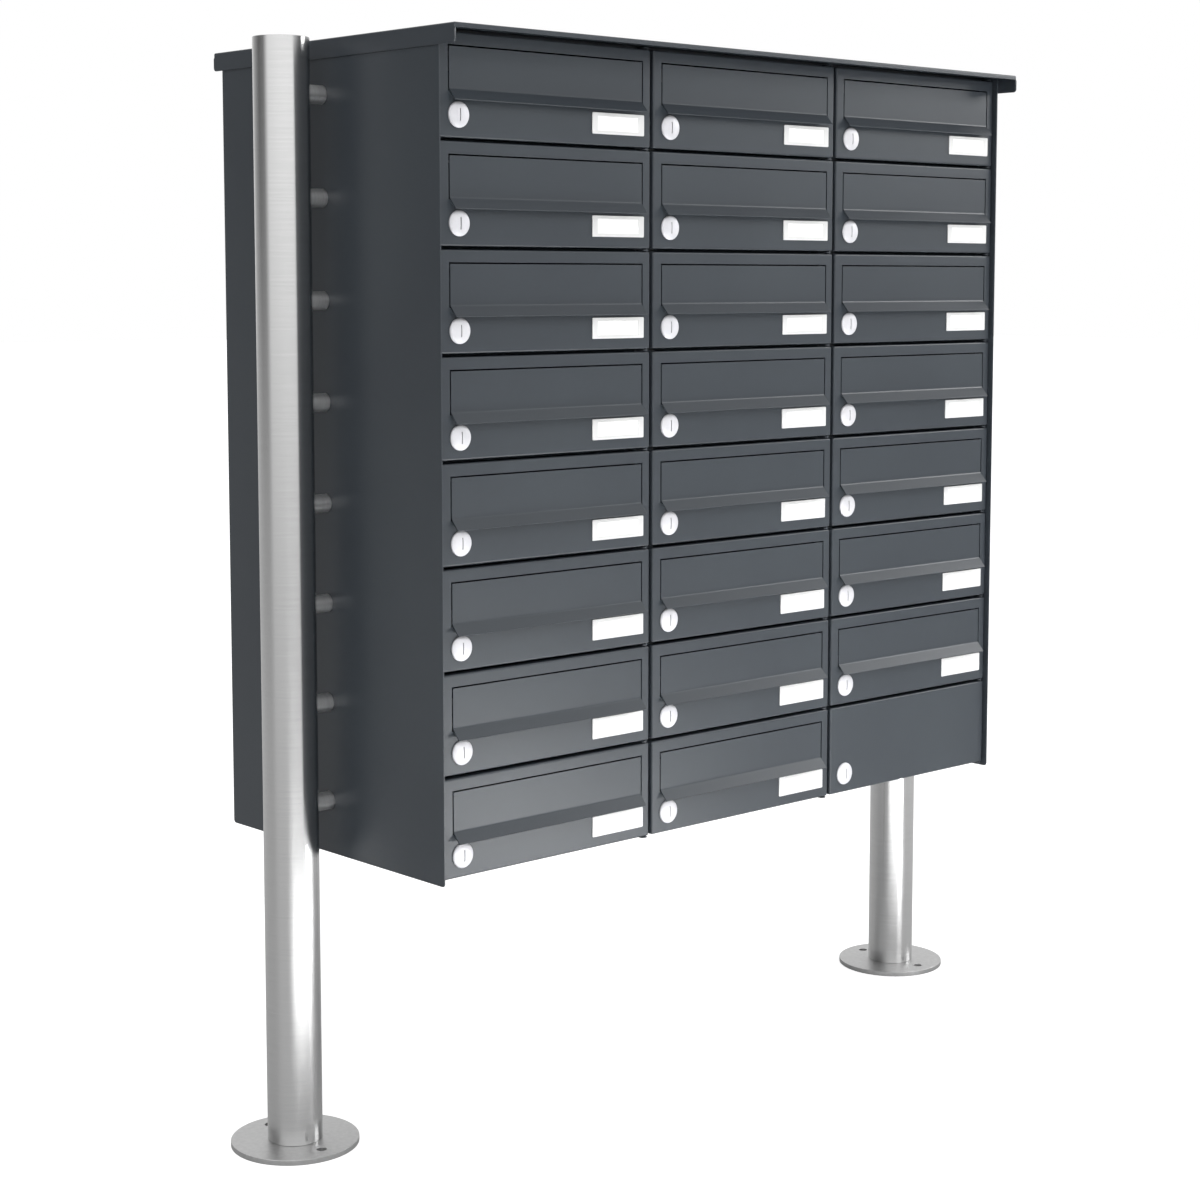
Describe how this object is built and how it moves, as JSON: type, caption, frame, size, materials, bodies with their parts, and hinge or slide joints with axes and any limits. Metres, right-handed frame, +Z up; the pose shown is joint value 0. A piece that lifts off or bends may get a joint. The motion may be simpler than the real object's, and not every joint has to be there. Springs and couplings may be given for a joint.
{
  "type": "cluster mailbox unit",
  "caption": "Free-standing letterbox stand: dark sheet-steel boxes with hinged doors, mail flaps and cam locks under a flat roof, hung between round steel posts on base plates.",
  "frame": {"origin": "on the floor under the middle of the roof, which is the middle of the whole stand", "axes": "+Z up, +X to the right seen from the front, doors facing -Y"},
  "size_m": [1.1456, 0.4372, 1.2057],
  "materials": {
    "powder_coat": "satin powder coat, anthracite grey, fine texture",
    "brushed_steel": "stainless steel tube ground round its length",
    "satin_steel": "stainless steel plate, fine satin",
    "lock_nickel": "satin nickel-plated lock cap",
    "plate_frame": "pale grey moulded name-plate frame",
    "name_label": "blank white label under a clear window",
    "dark_fitting": "black moulded bush, gasket or glide",
    "zinc_fitting": "zinc-plated steel screw, pin or cam"
  },
  "bodies": {
    "stand": {"left_post": "brushed_steel", "right_post": "brushed_steel", "left_base_plate": "satin_steel", "right_base_plate": "satin_steel", "left_standoffs": "brushed_steel", "right_standoffs": "brushed_steel", "left_side_panel": "powder_coat", "right_side_panel": "powder_coat", "roof": "powder_coat", "left_carcass": "powder_coat", "middle_carcass": "powder_coat", "right_carcass": "powder_coat"},
    "door_left_1": {"door_left_1": "powder_coat"},
    "flap_left_1": {"flap_left_1": "powder_coat"},
    "door_left_2": {"door_left_2": "powder_coat"},
    "flap_left_2": {"flap_left_2": "powder_coat"},
    "door_left_3": {"door_left_3": "powder_coat"},
    "flap_left_3": {"flap_left_3": "powder_coat"},
    "door_left_4": {"door_left_4": "powder_coat"},
    "flap_left_4": {"flap_left_4": "powder_coat"},
    "door_left_5": {"door_left_5": "powder_coat"},
    "flap_left_5": {"flap_left_5": "powder_coat"},
    "door_left_6": {"door_left_6": "powder_coat"},
    "flap_left_6": {"flap_left_6": "powder_coat"},
    "door_left_7": {"door_left_7": "powder_coat"},
    "flap_left_7": {"flap_left_7": "powder_coat"},
    "door_left_8": {"door_left_8": "powder_coat"},
    "flap_left_8": {"flap_left_8": "powder_coat"},
    "door_middle_1": {"door_middle_1": "powder_coat"},
    "flap_middle_1": {"flap_middle_1": "powder_coat"},
    "door_middle_2": {"door_middle_2": "powder_coat"},
    "flap_middle_2": {"flap_middle_2": "powder_coat"},
    "door_middle_3": {"door_middle_3": "powder_coat"},
    "flap_middle_3": {"flap_middle_3": "powder_coat"},
    "door_middle_4": {"door_middle_4": "powder_coat"},
    "flap_middle_4": {"flap_middle_4": "powder_coat"},
    "door_middle_5": {"door_middle_5": "powder_coat"},
    "flap_middle_5": {"flap_middle_5": "powder_coat"},
    "door_middle_6": {"door_middle_6": "powder_coat"},
    "flap_middle_6": {"flap_middle_6": "powder_coat"},
    "door_middle_7": {"door_middle_7": "powder_coat"},
    "flap_middle_7": {"flap_middle_7": "powder_coat"},
    "door_middle_8": {"door_middle_8": "powder_coat"},
    "flap_middle_8": {"flap_middle_8": "powder_coat"},
    "door_right_1": {"door_right_1": "powder_coat"},
    "flap_right_1": {"flap_right_1": "powder_coat"},
    "door_right_2": {"door_right_2": "powder_coat"},
    "flap_right_2": {"flap_right_2": "powder_coat"},
    "door_right_3": {"door_right_3": "powder_coat"},
    "flap_right_3": {"flap_right_3": "powder_coat"},
    "door_right_4": {"door_right_4": "powder_coat"},
    "flap_right_4": {"flap_right_4": "powder_coat"},
    "door_right_5": {"door_right_5": "powder_coat"},
    "flap_right_5": {"flap_right_5": "powder_coat"},
    "door_right_6": {"door_right_6": "powder_coat"},
    "flap_right_6": {"flap_right_6": "powder_coat"},
    "door_right_7": {"door_right_7": "powder_coat"},
    "flap_right_7": {"flap_right_7": "powder_coat"},
    "service_door": {"service_door": "powder_coat"},
    "service_lock": {"service_lock": "lock_nickel"}
  },
  "joints": [
    {"name": "door_left_1_hinge", "type": "hinge", "parent": "stand", "child": "door_left_1", "pos_m": [-0.15535, -0.1825, 1.147], "axis": [0, 0, 1], "range_deg": [0, 90]},
    {"name": "flap_left_1_hinge", "type": "hinge", "parent": "door_left_1", "child": "flap_left_1", "pos_m": [-0.2994, -0.1825, 1.1825], "axis": [-1, 0, 0], "range_deg": [0, 75]},
    {"name": "door_left_2_hinge", "type": "hinge", "parent": "stand", "child": "door_left_2", "pos_m": [-0.15535, -0.1825, 1.037], "axis": [0, 0, 1], "range_deg": [0, 90]},
    {"name": "flap_left_2_hinge", "type": "hinge", "parent": "door_left_2", "child": "flap_left_2", "pos_m": [-0.2994, -0.1825, 1.0725], "axis": [-1, 0, 0], "range_deg": [0, 75]},
    {"name": "door_left_3_hinge", "type": "hinge", "parent": "stand", "child": "door_left_3", "pos_m": [-0.15535, -0.1825, 0.927], "axis": [0, 0, 1], "range_deg": [0, 90]},
    {"name": "flap_left_3_hinge", "type": "hinge", "parent": "door_left_3", "child": "flap_left_3", "pos_m": [-0.2994, -0.1825, 0.9625], "axis": [-1, 0, 0], "range_deg": [0, 75]},
    {"name": "door_left_4_hinge", "type": "hinge", "parent": "stand", "child": "door_left_4", "pos_m": [-0.15535, -0.1825, 0.817], "axis": [0, 0, 1], "range_deg": [0, 90]},
    {"name": "flap_left_4_hinge", "type": "hinge", "parent": "door_left_4", "child": "flap_left_4", "pos_m": [-0.2994, -0.1825, 0.8525], "axis": [-1, 0, 0], "range_deg": [0, 75]},
    {"name": "door_left_5_hinge", "type": "hinge", "parent": "stand", "child": "door_left_5", "pos_m": [-0.15535, -0.1825, 0.707], "axis": [0, 0, 1], "range_deg": [0, 90]},
    {"name": "flap_left_5_hinge", "type": "hinge", "parent": "door_left_5", "child": "flap_left_5", "pos_m": [-0.2994, -0.1825, 0.7425], "axis": [-1, 0, 0], "range_deg": [0, 75]},
    {"name": "door_left_6_hinge", "type": "hinge", "parent": "stand", "child": "door_left_6", "pos_m": [-0.15535, -0.1825, 0.597], "axis": [0, 0, 1], "range_deg": [0, 90]},
    {"name": "flap_left_6_hinge", "type": "hinge", "parent": "door_left_6", "child": "flap_left_6", "pos_m": [-0.2994, -0.1825, 0.6325], "axis": [-1, 0, 0], "range_deg": [0, 75]},
    {"name": "door_left_7_hinge", "type": "hinge", "parent": "stand", "child": "door_left_7", "pos_m": [-0.15535, -0.1825, 0.487], "axis": [0, 0, 1], "range_deg": [0, 90]},
    {"name": "flap_left_7_hinge", "type": "hinge", "parent": "door_left_7", "child": "flap_left_7", "pos_m": [-0.2994, -0.1825, 0.5225], "axis": [-1, 0, 0], "range_deg": [0, 75]},
    {"name": "door_left_8_hinge", "type": "hinge", "parent": "stand", "child": "door_left_8", "pos_m": [-0.15535, -0.1825, 0.377], "axis": [0, 0, 1], "range_deg": [0, 90]},
    {"name": "flap_left_8_hinge", "type": "hinge", "parent": "door_left_8", "child": "flap_left_8", "pos_m": [-0.2994, -0.1825, 0.4125], "axis": [-1, 0, 0], "range_deg": [0, 75]},
    {"name": "door_middle_1_hinge", "type": "hinge", "parent": "stand", "child": "door_middle_1", "pos_m": [0.14465, -0.1825, 1.147], "axis": [0, 0, 1], "range_deg": [0, 90]},
    {"name": "flap_middle_1_hinge", "type": "hinge", "parent": "door_middle_1", "child": "flap_middle_1", "pos_m": [0.0006, -0.1825, 1.1825], "axis": [-1, 0, 0], "range_deg": [0, 75]},
    {"name": "door_middle_2_hinge", "type": "hinge", "parent": "stand", "child": "door_middle_2", "pos_m": [0.14465, -0.1825, 1.037], "axis": [0, 0, 1], "range_deg": [0, 90]},
    {"name": "flap_middle_2_hinge", "type": "hinge", "parent": "door_middle_2", "child": "flap_middle_2", "pos_m": [0.0006, -0.1825, 1.0725], "axis": [-1, 0, 0], "range_deg": [0, 75]},
    {"name": "door_middle_3_hinge", "type": "hinge", "parent": "stand", "child": "door_middle_3", "pos_m": [0.14465, -0.1825, 0.927], "axis": [0, 0, 1], "range_deg": [0, 90]},
    {"name": "flap_middle_3_hinge", "type": "hinge", "parent": "door_middle_3", "child": "flap_middle_3", "pos_m": [0.0006, -0.1825, 0.9625], "axis": [-1, 0, 0], "range_deg": [0, 75]},
    {"name": "door_middle_4_hinge", "type": "hinge", "parent": "stand", "child": "door_middle_4", "pos_m": [0.14465, -0.1825, 0.817], "axis": [0, 0, 1], "range_deg": [0, 90]},
    {"name": "flap_middle_4_hinge", "type": "hinge", "parent": "door_middle_4", "child": "flap_middle_4", "pos_m": [0.0006, -0.1825, 0.8525], "axis": [-1, 0, 0], "range_deg": [0, 75]},
    {"name": "door_middle_5_hinge", "type": "hinge", "parent": "stand", "child": "door_middle_5", "pos_m": [0.14465, -0.1825, 0.707], "axis": [0, 0, 1], "range_deg": [0, 90]},
    {"name": "flap_middle_5_hinge", "type": "hinge", "parent": "door_middle_5", "child": "flap_middle_5", "pos_m": [0.0006, -0.1825, 0.7425], "axis": [-1, 0, 0], "range_deg": [0, 75]},
    {"name": "door_middle_6_hinge", "type": "hinge", "parent": "stand", "child": "door_middle_6", "pos_m": [0.14465, -0.1825, 0.597], "axis": [0, 0, 1], "range_deg": [0, 90]},
    {"name": "flap_middle_6_hinge", "type": "hinge", "parent": "door_middle_6", "child": "flap_middle_6", "pos_m": [0.0006, -0.1825, 0.6325], "axis": [-1, 0, 0], "range_deg": [0, 75]},
    {"name": "door_middle_7_hinge", "type": "hinge", "parent": "stand", "child": "door_middle_7", "pos_m": [0.14465, -0.1825, 0.487], "axis": [0, 0, 1], "range_deg": [0, 90]},
    {"name": "flap_middle_7_hinge", "type": "hinge", "parent": "door_middle_7", "child": "flap_middle_7", "pos_m": [0.0006, -0.1825, 0.5225], "axis": [-1, 0, 0], "range_deg": [0, 75]},
    {"name": "door_middle_8_hinge", "type": "hinge", "parent": "stand", "child": "door_middle_8", "pos_m": [0.14465, -0.1825, 0.377], "axis": [0, 0, 1], "range_deg": [0, 90]},
    {"name": "flap_middle_8_hinge", "type": "hinge", "parent": "door_middle_8", "child": "flap_middle_8", "pos_m": [0.0006, -0.1825, 0.4125], "axis": [-1, 0, 0], "range_deg": [0, 75]},
    {"name": "door_right_1_hinge", "type": "hinge", "parent": "stand", "child": "door_right_1", "pos_m": [0.44465, -0.1825, 1.147], "axis": [0, 0, 1], "range_deg": [0, 90]},
    {"name": "flap_right_1_hinge", "type": "hinge", "parent": "door_right_1", "child": "flap_right_1", "pos_m": [0.3006, -0.1825, 1.1825], "axis": [-1, 0, 0], "range_deg": [0, 75]},
    {"name": "door_right_2_hinge", "type": "hinge", "parent": "stand", "child": "door_right_2", "pos_m": [0.44465, -0.1825, 1.037], "axis": [0, 0, 1], "range_deg": [0, 90]},
    {"name": "flap_right_2_hinge", "type": "hinge", "parent": "door_right_2", "child": "flap_right_2", "pos_m": [0.3006, -0.1825, 1.0725], "axis": [-1, 0, 0], "range_deg": [0, 75]},
    {"name": "door_right_3_hinge", "type": "hinge", "parent": "stand", "child": "door_right_3", "pos_m": [0.44465, -0.1825, 0.927], "axis": [0, 0, 1], "range_deg": [0, 90]},
    {"name": "flap_right_3_hinge", "type": "hinge", "parent": "door_right_3", "child": "flap_right_3", "pos_m": [0.3006, -0.1825, 0.9625], "axis": [-1, 0, 0], "range_deg": [0, 75]},
    {"name": "door_right_4_hinge", "type": "hinge", "parent": "stand", "child": "door_right_4", "pos_m": [0.44465, -0.1825, 0.817], "axis": [0, 0, 1], "range_deg": [0, 90]},
    {"name": "flap_right_4_hinge", "type": "hinge", "parent": "door_right_4", "child": "flap_right_4", "pos_m": [0.3006, -0.1825, 0.8525], "axis": [-1, 0, 0], "range_deg": [0, 75]},
    {"name": "door_right_5_hinge", "type": "hinge", "parent": "stand", "child": "door_right_5", "pos_m": [0.44465, -0.1825, 0.707], "axis": [0, 0, 1], "range_deg": [0, 90]},
    {"name": "flap_right_5_hinge", "type": "hinge", "parent": "door_right_5", "child": "flap_right_5", "pos_m": [0.3006, -0.1825, 0.7425], "axis": [-1, 0, 0], "range_deg": [0, 75]},
    {"name": "door_right_6_hinge", "type": "hinge", "parent": "stand", "child": "door_right_6", "pos_m": [0.44465, -0.1825, 0.597], "axis": [0, 0, 1], "range_deg": [0, 90]},
    {"name": "flap_right_6_hinge", "type": "hinge", "parent": "door_right_6", "child": "flap_right_6", "pos_m": [0.3006, -0.1825, 0.6325], "axis": [-1, 0, 0], "range_deg": [0, 75]},
    {"name": "door_right_7_hinge", "type": "hinge", "parent": "stand", "child": "door_right_7", "pos_m": [0.44465, -0.1825, 0.487], "axis": [0, 0, 1], "range_deg": [0, 90]},
    {"name": "flap_right_7_hinge", "type": "hinge", "parent": "door_right_7", "child": "flap_right_7", "pos_m": [0.3006, -0.1825, 0.5225], "axis": [-1, 0, 0], "range_deg": [0, 75]},
    {"name": "service_door_hinge", "type": "hinge", "parent": "stand", "child": "service_door", "pos_m": [0.44465, -0.1825, 0.377], "axis": [0, 0, 1], "range_deg": [0, 90]},
    {"name": "service_lock_turn", "type": "hinge", "parent": "service_door", "child": "service_lock", "pos_m": [0.1775, -0.1855, 0.347], "axis": [0, 1, 0], "range_deg": [0, 90]}
  ]
}
